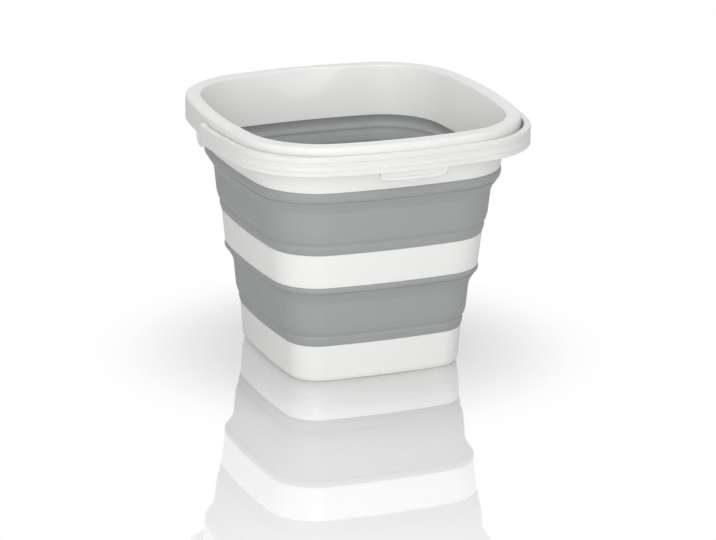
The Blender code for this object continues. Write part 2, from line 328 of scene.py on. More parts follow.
# %% Bellows
SOFT_WALL = 0.0020
UPPER_LINE = np.array([(0, 0), (0.020, -0.035), (0.060, -0.050), (0.105, -0.025), (0.145, 0.040),
                       (0.170, 0.120), (0.205, 0.210), (0.265, 0.380), (0.345, 0.535),
                       (0.705, 0.692), (0.795, 0.785), (0.858, 0.945), (0.886, 0.875),
                       (0.930, 0.905), (1, 1)])
LOWER_LINE = np.array([(0, 0), (0.015, -0.035), (0.040, -0.050), (0.070, -0.025), (0.097, 0.040),
                       (0.118, 0.120), (0.150, 0.215), (0.215, 0.385), (0.300, 0.535),
                       (0.700, 0.692), (0.785, 0.785), (0.848, 0.945), (0.876, 0.875),
                       (0.920, 0.905), (1, 1)])
UPPER_VALLEY = 0.165
LOWER_VALLEY = 0.112
VALLEY_DEPTH = 0.0017
VALLEY_WIDTH = 0.0008
INNER_BEAD_DEPTH = 0.0016
INNER_BEAD_WIDTH = 0.0021
OUTER_SOFTNESS = 0.0007
INNER_SOFTNESS = 0.0012
LINE_MARGIN = 0.1
LINE_POINTS = 2401
AVERAGED_POINTS = 200
PANEL_FROM = 0.36
PANEL_TO = 0.68
PANEL_ROWS = 12
END_ROWS = 56


def smooth_line(down, line, height, softness):
    """How far in the wall stands, as a share of the step, at each share of the way down.

    The straight runs between the given points are averaged with a bell-shaped weight whose
    width is the softness in metres. The line is held at both ends while it is averaged.
    """
    fine = np.linspace(-LINE_MARGIN, 1 + LINE_MARGIN, LINE_POINTS)
    inset = np.interp(fine, line[:, 0], line[:, 1])
    reach = np.arange(-AVERAGED_POINTS, AVERAGED_POINTS + 1) * (fine[1] - fine[0])
    weight = bell(reach, softness / height)
    padded = np.pad(inset, AVERAGED_POINTS, mode="edge")
    return np.interp(down, fine, np.convolve(padded, weight / weight.sum(), mode="valid"))


def bellows_grid(line, valley, low, high, low_z, high_z):
    """The closed wall of a bellows: down the outer line and back up the inner one.

    The plan at each point is the blend of the two end plans that stands in as far as the line
    says. The valley, the bead and the rounding at each seam go in by their depth times a bell
    of the distance from them.
    """
    height = high_z - low_z
    down = np.concatenate([np.linspace(0, PANEL_FROM, END_ROWS),
                           np.linspace(PANEL_FROM, PANEL_TO, PANEL_ROWS)[1:-1],
                           np.linspace(PANEL_TO, 1, END_ROWS)])
    span = high_z - SEAM_GAP - (height - 2 * SEAM_GAP) * down
    from_valley = (down - valley) * height
    seam_round = EDGE * (bell(down * height, EDGE) + bell((1 - down) * height, EDGE))
    outer_dips = VALLEY_DEPTH * bell(from_valley, VALLEY_WIDTH) + seam_round
    inner_dips = SOFT_WALL + INNER_BEAD_DEPTH * bell(from_valley, INNER_BEAD_WIDTH)
    outer = blend_plans(high, low, smooth_line(down, line, height, OUTER_SOFTNESS))
    inner = blend_plans(high, low, smooth_line(down, line, height, INNER_SOFTNESS))
    plans = np.vstack([outer - outer_dips[:, None], (inner - inner_dips[:, None])[::-1]])
    return wall_grid(plans, np.concatenate([span, span[::-1]]))


lower_wall = piece_from_grid("lower_bellows_wall", bellows_grid(
    LOWER_LINE, LOWER_VALLEY, BASE_TOP, MIDDLE_LOW, BASE_SEAM, MIDDLE_LOW_SEAM))
upper_wall = piece_from_grid("upper_bellows_wall", bellows_grid(
    UPPER_LINE, UPPER_VALLEY, MIDDLE_HIGH, RIM_LOW, MIDDLE_HIGH_SEAM, RIM_SEAM))

# %% [markdown]
# ## The middle band
#
# The stiff band between the bellows is a plain leaning wall. All the work is in its edges,
# which are rounded just enough to catch a thin line of light along each seam.

# %% Middle band
BAND_ROWS = 16


def band_grid():
    """A leaning wall with all four edges rounded by quarter turns."""
    low_z = MIDDLE_LOW_SEAM + SEAM_GAP
    high_z = MIDDLE_HIGH_SEAM - SEAM_GAP
    out, up = (line[1:] for line in quarter_turn(EDGE, 0, 90))
    climb_z = np.linspace(low_z + EDGE, high_z - EDGE, BAND_ROWS)
    heights = np.concatenate([climb_z, high_z - EDGE + up, (high_z - EDGE + up)[::-1],
                              climb_z[::-1], low_z + EDGE - up, (low_z + EDGE - up)[::-1]])
    zero = np.zeros(len(climb_z))
    steps_in = np.concatenate([zero, EDGE - out, WALL - EDGE + out[::-1], zero + WALL,
                               WALL - EDGE + out, EDGE - out[::-1]])
    share = (heights - MIDDLE_LOW_SEAM) / (MIDDLE_HIGH_SEAM - MIDDLE_LOW_SEAM)
    plans = blend_plans(MIDDLE_LOW, MIDDLE_HIGH, share) - steps_in[:, None]
    return wall_grid(plans, heights)


middle_band = piece_from_grid("middle_band", band_grid())

# %% [markdown]
# ## The spout
#
# The rim is the stiff top wall, and a V-shaped pouring spout is pressed out of its back. Level
# by level the spout is part of a circle that grows from nothing at its point to 80 mm wide and
# 4.6 mm deep at the mouth, and near its point it eases into the wall. Its two creases are
# slightly soft, as a moulded crease is.

# %% Spout
SPOUT_HALF_WIDTH = 0.0400
SPOUT_DEPTH = 0.0046
SPOUT_START = 0.0125
SPOUT_FADE = 0.80
SMALLEST_GROWTH = 0.02
SMALLEST_SPOUT = 0.004
CREASE_SOFTNESS = 0.0009


def spout_growth(z):
    """How much of the spout's full size it has at a height, from 0 to 1."""
    return np.clip((z - RIM_SEAM - SPOUT_START) / (TOP - RIM_SEAM - SPOUT_START), 0, 1)


def spout_push(x, z):
    """How far the spout presses a point of the back wall outwards.

    A level section is a circle through the two creases and the spout's deepest point. Its
    height over the wall goes through a soft maximum with zero: the softness times the
    logarithm of one plus the exponential of the height over the softness. An ease of the
    spout's growth makes it fade in.
    """
    growth = np.maximum(spout_growth(z), SMALLEST_GROWTH)
    half_width = SPOUT_HALF_WIDTH * growth
    depth = SPOUT_DEPTH * growth
    radius = (half_width ** 2 + depth ** 2) / (2 * depth)
    rise = np.sqrt(np.maximum(radius ** 2 - x ** 2, 0)) - (radius - depth)
    soft = CREASE_SOFTNESS * np.logaddexp(0, rise / CREASE_SOFTNESS)
    return soft * ease(spout_growth(z), 0, SPOUT_FADE)


# %% [markdown]
# ## The rim
#
# At the mouth the wall turns over a small rounded edge into a lip. A thin bead runs round the
# mouth, a very shallow dip follows it, and the lip ends in a large rounded edge, from which a
# skirt goes straight down and keeps it all stiff. The section is a closed loop. The spout
# moves the wall in full and the lip less and less, so that the skirt stays as it is.

# %% Rim
LIP_WIDTH = 0.0144
LIP_THICKNESS = 0.0025
LIP_FALL = 0.0011
LIP_DIP = 0.0009
LIP_ROUND = 0.0029
MOUTH_ROUND = 0.0010
BEAD_WIDTH = 0.0014
BEAD_SHARE = 0.14
SKIRT_HEIGHT = 0.0235
SKIRT_WALL = 0.0020
SKIRT_ROUND = 0.0006

RIM_ROWS = 36
MOUTH_STEPS = 7
BEAD_ROWS = 8
LIP_ROWS = 12
LIP_STEPS = 10
SKIRT_ROWS = 12
INNER_SKIRT_ROWS = 10
UNDER_LIP_ROWS = 9


def rim_section():
    """Rows of (height of the wall's plan, step outwards, height, share of the spout).

    In order: up the inner wall, over the mouth's edge, out along the lip, down the skirt, up
    its inner face, in under the lip and down the outer wall. The lip's dip is its depth times
    one minus the bead's bell, times one minus the square of the way out, to the power 1.5.
    """
    skirt = LIP_WIDTH - WALL
    bottom = TOP - SKIRT_HEIGHT
    under = TOP - LIP_THICKNESS
    low = RIM_SEAM + SEAM_GAP
    rows = []

    def run(plan_z, step, z, spout):
        """Adds rows, with single numbers spread over all of them."""
        rows.append(np.stack(np.broadcast_arrays(plan_z, step, z, spout), axis=-1))

    wall_z = np.linspace(low + EDGE, TOP - MOUTH_ROUND, RIM_ROWS)
    run(wall_z, -WALL, wall_z, 1)
    out, up = quarter_turn(MOUTH_ROUND, 180, 90, MOUTH_STEPS)
    lip_from = MOUTH_ROUND - WALL
    run(TOP, lip_from + out[1:], TOP - MOUTH_ROUND + up[1:], 1)
    lip_to = skirt - LIP_ROUND
    share = np.concatenate([np.linspace(0, BEAD_SHARE, BEAD_ROWS)[1:],
                            np.linspace(BEAD_SHARE, 1, LIP_ROWS)[1:]])
    across = (lip_to - lip_from) * share
    dip = LIP_DIP * (1 - bell(across, BEAD_WIDTH)) * (1 - share ** 2) ** 1.5
    run(TOP, lip_from + across, TOP - dip, 1 - share)
    out, up = quarter_turn(LIP_ROUND, 90, 0, LIP_STEPS)
    drop = TOP - LIP_ROUND
    run(TOP, lip_to + out[1:], drop + up[1:], 0)
    run(TOP, skirt, np.linspace(drop, bottom + SKIRT_ROUND, SKIRT_ROWS)[1:], 0)
    out, up = quarter_turn(SKIRT_ROUND, 0, -90)
    run(TOP, skirt - SKIRT_ROUND + out[1:], bottom + SKIRT_ROUND + up[1:], 0)
    inside = skirt - SKIRT_WALL
    run(TOP, inside + SKIRT_ROUND - out[::-1], bottom + SKIRT_ROUND + up[::-1], 0)
    corner_z = under - LIP_FALL - SKIRT_ROUND
    run(TOP, inside, np.linspace(bottom + SKIRT_ROUND, corner_z, INNER_SKIRT_ROWS)[1:], 0)
    share = np.linspace(1, 0, UNDER_LIP_ROWS)
    run(TOP, SKIRT_ROUND + (inside - 2 * SKIRT_ROUND) * share, under - LIP_FALL * share, 1 - share)
    outer_z = np.linspace(under - SKIRT_ROUND, low + EDGE, RIM_ROWS)
    run(outer_z, 0, outer_z, 1)
    out, up = quarter_turn(EDGE, 0, 90)
    run(low, out[1:] - EDGE, low + EDGE - up[1:], 1)
    run(low, EDGE - WALL - out[:0:-1], low + EDGE - up[:0:-1], 1)
    return np.vstack(rows)


def rim_grid():
    """The rim's section carried round the plan, with the spout pressed into the back."""
    plan_z, step, z, spout = (column[:, None] for column in rim_section().T)
    plans = blend_plans(RIM_LOW, MOUTH, (plan_z - RIM_SEAM) / (TOP - RIM_SEAM)) + step
    edge = np.maximum(SPOUT_HALF_WIDTH * spout_growth(plan_z), SMALLEST_SPOUT)
    x, y = walk_round(plans, edge=edge, edge_side=BACK_SIDE)[:2]
    push = np.where(y > 0, spout_push(x, plan_z) * spout, 0)
    return np.stack([x, y + push, np.broadcast_to(z, x.shape)], axis=-1)


rim_shell = piece_from_grid("rim_shell", rim_grid())

# %% [markdown]
# ## Ears for the handle
#
# In the middle of the left and right skirts sits an ear, a round boss with a hole, and the
# handle's peg turns in it. Ear and peg are turned shapes: a line of radii and lengths spun
# about the pivot's axis. The ear is joined to the skirt and the hole cut through both.

# %% Turned shapes, joined and cut
PIVOT_HEIGHT = 0.2322
TURNED_SIDES = 72


def turned(name, lengths, radii, first_angle=0.0):
    """A closed shape spun about the level line through the pivots, with a point at each end.

    Lengths are distances from the bucket's middle to the right, and radii are distances from
    the pivot's axis. Each point is (length, radius cosine, pivot height plus radius sine).
    """
    angle = first_angle + np.linspace(0, 2 * np.pi, TURNED_SIDES, endpoint=False)
    lengths = np.asarray(lengths)[:, None]
    radii = np.asarray(radii)[:, None]
    grid = np.stack([np.broadcast_to(lengths, (len(lengths), TURNED_SIDES)),
                     radii * np.cos(angle), PIVOT_HEIGHT + radii * np.sin(angle)], axis=-1)
    return piece_from_grid(name, grid, loop=False, poles=True)


def mirrored(name, piece):
    """The same shape on the left side, with its faces turned the right way again."""
    mesh = piece.data.copy()
    mesh.name = name
    other = bpy.data.objects.new(name, mesh)
    bpy.context.scene.collection.objects.link(other)
    points = np.empty(len(mesh.vertices) * 3)
    mesh.vertices.foreach_get("co", points)
    points[::3] *= -1
    mesh.vertices.foreach_set("co", points)
    mesh.flip_normals()
    finish_mesh(other)
    return other


def join_or_cut(piece, tools, operation):
    """Joins tools to a piece or cuts them out of it, and leaves one plain mesh."""
    for tool in tools:
        step = piece.modifiers.new(tool.name, "BOOLEAN")
        step.operation = operation
        step.object = tool
        step.solver = "EXACT"
    scene_state = bpy.context.evaluated_depsgraph_get()
    mesh = bpy.data.meshes.new_from_object(piece.evaluated_get(scene_state))
    piece.modifiers.clear()
    piece.data = mesh
    mesh.name = piece.name
    for tool in tools:
        bpy.data.objects.remove(tool)
    finish_mesh(piece)


def edge_round(radius, sign, length, size):
    """Lengths and radii of a rounded rim that ends a turned shape at a length."""
    out, up = quarter_turn(size, 0, 90, 6)
    return length + sign * (up - size), radius - size + out


# %% [markdown]
# ## Ears on the rim
#
# An ear stands a hair proud of the skirt outside and further proud inside, where it carries
# the peg. The bore is a bar longer than the ear is thick, turned by half a step so that its
# sides don't line up with the ear's, and it cuts ear and skirt at once.

# %% Ears on the rim
EAR_RADIUS = 0.0090
EAR_PROUD = 0.0002
EAR_ROUND = 0.00015
EAR_INNER_PROUD = 0.0012
EAR_INNER_ROUND = 0.0005
PEG_RADIUS = 0.0045
PEG_CLEARANCE = 0.0003
BORE_OVERRUN = 0.002

skirt_face = MOUTH[0] + LIP_WIDTH - WALL
ear_outer = skirt_face + EAR_PROUD
ear_inner = skirt_face - SKIRT_WALL - EAR_INNER_PROUD
inner_end = edge_round(EAR_RADIUS, -1, ear_inner, EAR_INNER_ROUND)
outer_end = edge_round(EAR_RADIUS, 1, ear_outer, EAR_ROUND)
ear_lengths = np.concatenate([[ear_inner], inner_end[0][::-1], outer_end[0], [ear_outer]])
ear_radii = np.concatenate([[0], inner_end[1][::-1], outer_end[1], [0]])
right_ear = turned("right_ear", ear_lengths, ear_radii)
left_ear = mirrored("left_ear", right_ear)
join_or_cut(rim_shell, [right_ear, left_ear], "UNION")

bore_radius = PEG_RADIUS + PEG_CLEARANCE
bore_ends = [ear_inner - BORE_OVERRUN, ear_outer + BORE_OVERRUN]
right_bore = turned("right_bore", np.repeat(bore_ends, 2), [0, bore_radius, bore_radius, 0],
                    first_angle=np.pi / TURNED_SIDES)
left_bore = mirrored("left_bore", right_bore)
join_or_cut(rim_shell, [right_bore, left_bore], "DIFFERENCE")

# %% [markdown]
# ## The handle
#
# The handle is a wide flat band round the front half of the rim, held off it so that fingers
# fit behind, and a little thicker at its two corners. Two soft grooves run along its front and
# fade out towards the pivots. In the middle its lower edge hangs into a grip, hollowed like the
# inside of a spoon, with a notch at each end of the hollow and a thick lip under it. The band
# is a grid over the distance along and the height, moved inwards from the handle's plan by a
# depth that says where the grooves and the hollow are.

# %% Handle band
HANDLE_TOP = 0.2425
HANDLE_BOTTOM = 0.2238
HANDLE_THICKNESS = 0.0061
CORNER_THICKENING = 0.0015
HANDLE_ROUND = 0.0012
GRIP_HALF_WIDTH = 0.0335
GRIP_DROP = 0.0083
GRIP_ROUNDING = 4.5

# Height, depth and width of each groove, and where the grooves start and are full, along -y
GROOVES = ((0.2354, 0.0021, 0.0014), (0.2279, 0.0013, 0.0010))
GROOVE_START = 0.060
GROOVE_FULL = 0.125

SCOOP_TOP = 0.2252
SCOOP_DEEPEST = 0.2202
SCOOP_DEPTH = 0.0034
SCOOP_LIP = 0.0034
SCOOP_HALF_WIDTH = 0.0313
SCOOP_STEEPNESS = 40
NOTCH_DEPTH = 0.0022
NOTCH_AT = 0.0306
NOTCH_WIDTH = 0.0012

HANDLE_EDGE_STEPS = 6
FACE_ROWS = 81
GRIP_ROWS = 36
BACK_ROWS = 14


def grip_drop(x):
    """How far the lower edge hangs at the grip: half of a rounded rectangle, a superellipse."""
    share = np.minimum(np.abs(x) / GRIP_HALF_WIDTH, 1)
    return GRIP_DROP * (1 - share ** GRIP_ROUNDING) ** (1 / GRIP_ROUNDING)


def face_depth(x, y, z, bottom):
    """How far the handle's outer face lies behind its plan.

    Each groove is its depth times a bell of the height, and an ease along the band makes it
    fade in. The hollow is its depth times a steep arch across the grip, plus a bell for the
    notch at each end, times an ease below its top and an ease above the lip at the bottom.
    """
    grooves = sum(deep * bell(z - level, wide) for level, deep, wide in GROOVES)
    arch = np.clip(1 - (np.abs(x) / SCOOP_HALF_WIDTH) ** SCOOP_STEEPNESS, 0, 1) ** 0.5
    notch = NOTCH_DEPTH * bell(np.abs(x) - NOTCH_AT, NOTCH_WIDTH)
    below_top = ease(-z, -SCOOP_TOP, -SCOOP_DEEPEST)
    above_lip = ease(z - bottom, SCOOP_LIP / 2, SCOOP_LIP)
    return (ease(-y, GROOVE_START, GROOVE_FULL) * grooves
            + (SCOOP_DEPTH * arch + notch) * below_top * above_lip)


def handle_grid():
    """The band's closed section at every station of the front half of the plan.

    In order: over the face's top edge, down the face, round the bottom, up the back and over
    its top edge. Each run is a pair of heights and depths behind the plan.
    """
    walk = walk_round(HANDLE_PLAN, edge=np.array([[GRIP_HALF_WIDTH]]), edge_side=FRONT_SIDE)
    x, y, out_x, out_y = (np.append(line[0, 2 * QUARTER:], line[0, 0]) for line in walk)
    low = HANDLE_BOTTOM - np.where(y < -np.abs(x), grip_drop(x), 0) + HANDLE_ROUND
    high = HANDLE_TOP - HANDLE_ROUND
    thickness = HANDLE_THICKNESS + CORNER_THICKENING * (2 * out_x * out_y) ** 2
    out, up = (line[:, None] for line in quarter_turn(HANDLE_ROUND, 90, 0, HANDLE_EDGE_STEPS))
    back_out, back_up = out[-2::-1], up[-2::-1]
    level_z = np.linspace(high, SCOOP_TOP, FACE_ROWS)[1:, None]
    grip_z = SCOOP_TOP + (low - SCOOP_TOP) * np.linspace(0, 1, GRIP_ROWS)[1:, None]
    face_z = np.vstack([np.repeat(level_z, len(x), axis=1), grip_z])
    face = face_depth(x, y, face_z, low)
    back_z = low + (high - low) * np.linspace(0, 1, BACK_ROWS)[1:, None]
    runs = (
        (high + up, HANDLE_ROUND - out),
        (face_z, face),
        (low - back_up, HANDLE_ROUND + (face[-1] - HANDLE_ROUND) * back_out / HANDLE_ROUND),
        (low - up, thickness - HANDLE_ROUND + out),
        (back_z, thickness),
        (high + back_up, thickness - HANDLE_ROUND + back_out),
    )
    spread_runs = [np.broadcast_arrays(heights, depths, x)[:2] for heights, depths in runs]
    z, depth = (np.vstack(rows) for rows in zip(*spread_runs))
    return np.stack([x - depth * out_x, y - depth * out_y, z], axis=-1)


handle_band = piece_from_grid("handle_band", handle_grid(), ring=False, caps=True)

# %% [markdown]
# ## Eyes and pegs
#
# Each end of the band is a round eye, and on its inner face stands the peg that turns in the
# ear, with a head that keeps it in. All three are one turned shape, joined to the band.

# %% Eyes and pegs on the handle
EYE_RADIUS = 0.0113
EYE_PROUD = 0.00005
EYE_ROUND = 0.0007
RECESS_DEPTH = 0.0004
RECESS_RADIUS = 0.0032
RECESS_EDGE_RADIUS = 0.0044
PEG_HEAD_RADIUS = 0.0062
PEG_HEAD_LENGTH = 0.0015
PEG_HEAD_ROUND = 0.0003
INNER_ROUND = 0.0006

eye_outer = HANDLE_PLAN[0] + EYE_PROUD
eye_inner = HANDLE_PLAN[0] - HANDLE_THICKNESS - EYE_PROUD
recess = eye_outer - RECESS_DEPTH
head_outer = ear_inner - PEG_CLEARANCE
head_inner = head_outer - PEG_HEAD_LENGTH
outer_end = edge_round(EYE_RADIUS, 1, eye_outer, EYE_ROUND)
inner_end = edge_round(EYE_RADIUS, -1, eye_inner, INNER_ROUND)
head_front = edge_round(PEG_HEAD_RADIUS, 1, head_outer, PEG_HEAD_ROUND)
head_back = edge_round(PEG_HEAD_RADIUS, -1, head_inner, INNER_ROUND)
peg_lengths = np.concatenate([[recess, recess, eye_outer], outer_end[0][::-1], inner_end[0],
                              [eye_inner, head_outer], head_front[0][::-1], head_back[0],
                              [head_inner]])
peg_radii = np.concatenate([[0, RECESS_RADIUS, RECESS_EDGE_RADIUS], outer_end[1][::-1],
                            inner_end[1], [PEG_RADIUS, PEG_RADIUS], head_front[1][::-1],
                            head_back[1], [0]])
right_eye = turned("right_eye", peg_lengths, peg_radii)
left_eye = mirrored("left_eye", right_eye)
join_or_cut(handle_band, [right_eye, left_eye], "UNION")

# %% [markdown]
# ## Finishes
#
# The stiff pieces are satin polypropylene, a slightly warm white, and the handle is the same
# white painted a little darker, as painted shade. The bellows are a soft rubbery polymer, a
# cool grey, duller and a little velvety. Both get a very fine grain from the mould, faint long
# waves in colour and gloss where the melt cooled unevenly, small scuffs that are duller than
# the rest, and edges that are lighter, partly as wear and partly as a painted highlight along
# convex edges and ridges. All of it is noise in the piece's own coordinates, so it stays on
# the piece from any side and in any pose.

# %% A moulded finish
WAVE_SCALE = 11
WAVE_RANGE = (0.2, 0.8)
SCUFF_SCALE = 70
SCUFF_RANGE = (0.4, 0.8)
# How sharp an edge must be to turn lighter, partly as wear and partly as a painted highlight
EDGE_RANGE = (0.56, 0.70)
WORN_AND_LIT_SHARE = 0.6
GRAIN_STRENGTH = 0.35


def link(tree, source, target):
    """Joins an output socket to an input socket."""
    tree.links.new(source, target)


def noise(tree, place, scale, detail):
    """Soft noise between 0 and 1 in the piece's own metres."""
    made = tree.nodes.new("ShaderNodeTexNoise")
    made.inputs["Scale"].default_value = scale
    made.inputs["Detail"].default_value = detail
    link(tree, place, made.inputs["Vector"])
    return made.outputs["Fac"]


def spread(tree, value, low, high, start=0.0, end=1.0):
    """Maps a value from one range to another, held at both ends."""
    made = tree.nodes.new("ShaderNodeMapRange")
    for name, number in (("From Min", start), ("From Max", end), ("To Min", low), ("To Max", high)):
        made.inputs[name].default_value = number
    link(tree, value, made.inputs["Value"])
    return made.outputs["Result"]


def mix_colour(tree, share, first, second):
    """Goes from one colour to another; either may be a socket."""
    made = tree.nodes.new("ShaderNodeMix")
    made.data_type = "RGBA"
    link(tree, share, made.inputs["Factor"])
    for name, colour in (("A", first), ("B", second)):
        socket = next(s for s in made.inputs if s.name == name and s.type == "RGBA")
        if isinstance(colour, tuple):
            socket.default_value = (*colour, 1.0)
        else:
            link(tree, colour, socket)
    return next(s for s in made.outputs if s.type == "RGBA")


def moulded_finish(name, colour, shade, worn_and_highlight_colour, roughness, scuffed, grain, grain_height, ior):
    """A material with mould grain, cooling waves, scuffs, and edges lighter from wear and a painted
    highlight.
    """
    made = bpy.data.materials.new(name)
    made.use_nodes = True
    tree = made.node_tree
    shader = tree.nodes["Principled BSDF"]
    shader.inputs["IOR"].default_value = ior
    place = tree.nodes.new("ShaderNodeTexCoord").outputs["Object"]
    waves = spread(tree, noise(tree, place, WAVE_SCALE, detail=1), 0, 1, *WAVE_RANGE)
    body = mix_colour(tree, waves, colour, shade)
    # Convex edges get a lighter colour: partly wear, partly a painted highlight on edges and
    # ridges.
    edges = tree.nodes.new("ShaderNodeNewGeometry").outputs["Pointiness"]
    lit_and_rubbed_edges = spread(tree, edges, 0, WORN_AND_LIT_SHARE, *EDGE_RANGE)
    link(tree, mix_colour(tree, lit_and_rubbed_edges, body, worn_and_highlight_colour), shader.inputs["Base Color"])
    scuffs = noise(tree, place, SCUFF_SCALE, detail=4)
    link(tree, spread(tree, scuffs, roughness, scuffed, *SCUFF_RANGE), shader.inputs["Roughness"])
    bump = tree.nodes.new("ShaderNodeBump")
    bump.inputs["Strength"].default_value = GRAIN_STRENGTH
    bump.inputs["Distance"].default_value = grain_height
    link(tree, noise(tree, place, grain, detail=3), bump.inputs["Height"])
    link(tree, bump.outputs["Normal"], shader.inputs["Normal"])
    print("finish", name, "with roughness", roughness, "to", scuffed)
    return made


white_body = moulded_finish(
    "satin_white_polypropylene", colour=(0.872, 0.872, 0.856), shade=(0.866, 0.867, 0.852),
    worn_and_highlight_colour=(0.90, 0.90, 0.885), roughness=0.33, scuffed=0.39,
    grain=1400, grain_height=0.000012, ior=1.49)
# The handle is the body's white painted a little darker, as painted shade against the stronger
# light on it.
white_handle = moulded_finish(
    "satin_handle_with_painted_shade", colour=(0.836, 0.836, 0.822), shade=(0.830, 0.831, 0.818),
    worn_and_highlight_colour=(0.845, 0.845, 0.831), roughness=0.31, scuffed=0.36,
    grain=1400, grain_height=0.000012, ior=1.49)
grey_soft = moulded_finish(
    "soft_grey_polymer", colour=(0.346, 0.364, 0.356), shade=(0.339, 0.357, 0.349),
    worn_and_highlight_colour=(0.39, 0.41, 0.40), roughness=0.45, scuffed=0.53,
    grain=1000, grain_height=0.00002, ior=1.46)
soft_shader = grey_soft.node_tree.nodes["Principled BSDF"]
soft_shader.inputs["Sheen Weight"].default_value = 0.06
soft_shader.inputs["Sheen Roughness"].default_value = 0.5

# %% [markdown]
# ## Which piece stands for which, and what it moves with
#
# Each fine piece takes the place of one CAD node. A stiff piece rides on that node's body,
# and a bellows has its placement baked into its points.

# %% Ride, replace and paint
stiff = (
    (base_shell, "base", "base_tray", white_body, "white_body"),
    (middle_band, "middle", "middle_ring", white_body, "white_body"),
    (rim_shell, "rim", "rim_frame", white_body, "white_body"),
    (handle_band, "handle", "handle", white_handle, "white_handle"),
)
for piece, body, node, finish, slot in stiff:
    piece.data.materials.clear()
    piece.data.materials.append(finish)
    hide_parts(node)
    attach(piece, body)

soft = (
    (lower_wall, "base", "middle", "lower_bellows", BASE_SEAM, MIDDLE_LOW_SEAM),
    (upper_wall, "middle", "rim", "upper_bellows", MIDDLE_HIGH_SEAM, RIM_SEAM),
)
for piece, below, above, node, low_z, high_z in soft:
    piece.data.materials.append(grey_soft)
    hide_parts(node)
    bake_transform(piece)

# %% [markdown]
# ## Floor
#
# The photograph stands on glossy white acrylic, which shows the bucket upside down and fades
# with distance. Near the bucket the floor is mostly matte, so it keeps the shadow, and it turns
# into the plain white of the background further out. Its mirror is strongest near the bucket
# and at a low slant, and weak from above, where it would show the lamps. For light that
# bounces it is plain matte. It can be seen through from below, and under the base it lets
# light through, so that the underside can be looked at.

# %% Glossy white floor
FLOOR_SIZE = 60.0
FLOOR_DROP = 0.0001
FLOOR_WHITE = 0.9
MIRROR_ROUGHNESS = 0.03

# Each goes from its near to its far value between the two distances from the middle
GLOW_NEAR, GLOW_FAR, GLOW_RANGE = 0.35, 1.0, (0.09, 0.22)
MIRROR_NEAR, MIRROR_FAR, MIRROR_RANGE = 0.60, 0.05, (0.10, 0.66)
# The mirror is darker near the bucket: a painted contact shadow in its reflection
MIRROR_SHADE_NEAR, MIRROR_SHADE_FAR, MIRROR_SHADE_RANGE = 0.74, 1.0, (0.12, 0.26)

# The slant at which the mirror starts and the one from which it is full: 0 from above, 1 level
SLANT_RANGE = (0.15, 0.62)

# The rounded square that lets light through: x and y to this power add up to less than its own
UNDER_BASE = 0.085
UNDER_BASE_POWER = 6

half_floor = FLOOR_SIZE / 2
floor_mesh = bpy.data.meshes.new("floor")
floor_mesh.from_pydata([(x * half_floor, y * half_floor, -FLOOR_DROP)
                        for x, y in ((-1, -1), (1, -1), (1, 1), (-1, 1))], [], [(0, 1, 2, 3)])
floor = bpy.data.objects.new("floor", floor_mesh)
bpy.context.scene.collection.objects.link(floor)

floor_finish = bpy.data.materials.new("glossy_white_acrylic")
floor_finish.use_nodes = True
tree = floor_finish.node_tree
tree.nodes.clear()


def grey_level(level):
    """A colour with the same amount of red, green and blue."""
    return (level, level, level, 1)


def blend_shaders(share, first, second):
    """A shader that goes from the first to the second as a socket goes from 0 to 1."""
    nodes = share.node.id_data
    made = nodes.nodes.new("ShaderNodeMixShader")
    nodes.links.new(share, made.inputs["Fac"])
    nodes.links.new(first, made.inputs[1])
    nodes.links.new(second, made.inputs[2])
    return made.outputs["Shader"]


def calculate(tree, operation, *values):
    """The result of a Math node whose inputs are sockets or plain numbers."""
    made = tree.nodes.new("ShaderNodeMath")
    made.operation = operation
    for slot, value in zip(made.inputs, values):
        if isinstance(value, (int, float)):
            slot.default_value = value
        else:
            link(tree, value, slot)
    return made.outputs["Value"]


place = tree.nodes.new("ShaderNodeTexCoord").outputs["Object"]
distance = tree.nodes.new("ShaderNodeVectorMath")
distance.operation = "LENGTH"
link(tree, place, distance.inputs[0])
away = distance.outputs["Value"]
matte = tree.nodes.new("ShaderNodeBsdfDiffuse")
matte.inputs["Color"].default_value = grey_level(FLOOR_WHITE)
glow = tree.nodes.new("ShaderNodeEmission")
white = blend_shaders(spread(tree, away, GLOW_NEAR, GLOW_FAR, *GLOW_RANGE),
                      matte.outputs["BSDF"], glow.outputs["Emission"])

mirror = tree.nodes.new("ShaderNodeBsdfGlossy")
mirror.inputs["Roughness"].default_value = MIRROR_ROUGHNESS
# Painted contact shadow: the mirror's colour is darker near the bucket.
link(tree, spread(tree, away, MIRROR_SHADE_NEAR, MIRROR_SHADE_FAR, *MIRROR_SHADE_RANGE), mirror.inputs["Color"])
slant = tree.nodes.new("ShaderNodeLayerWeight")
slant.inputs["Blend"].default_value = 0.5
mirror_share = calculate(tree, "MULTIPLY",
                         spread(tree, away, MIRROR_NEAR, MIRROR_FAR, *MIRROR_RANGE),
                         spread(tree, slant.outputs["Facing"], 0, 1, *SLANT_RANGE))
seen = blend_shaders(mirror_share, white, mirror.outputs["BSDF"])

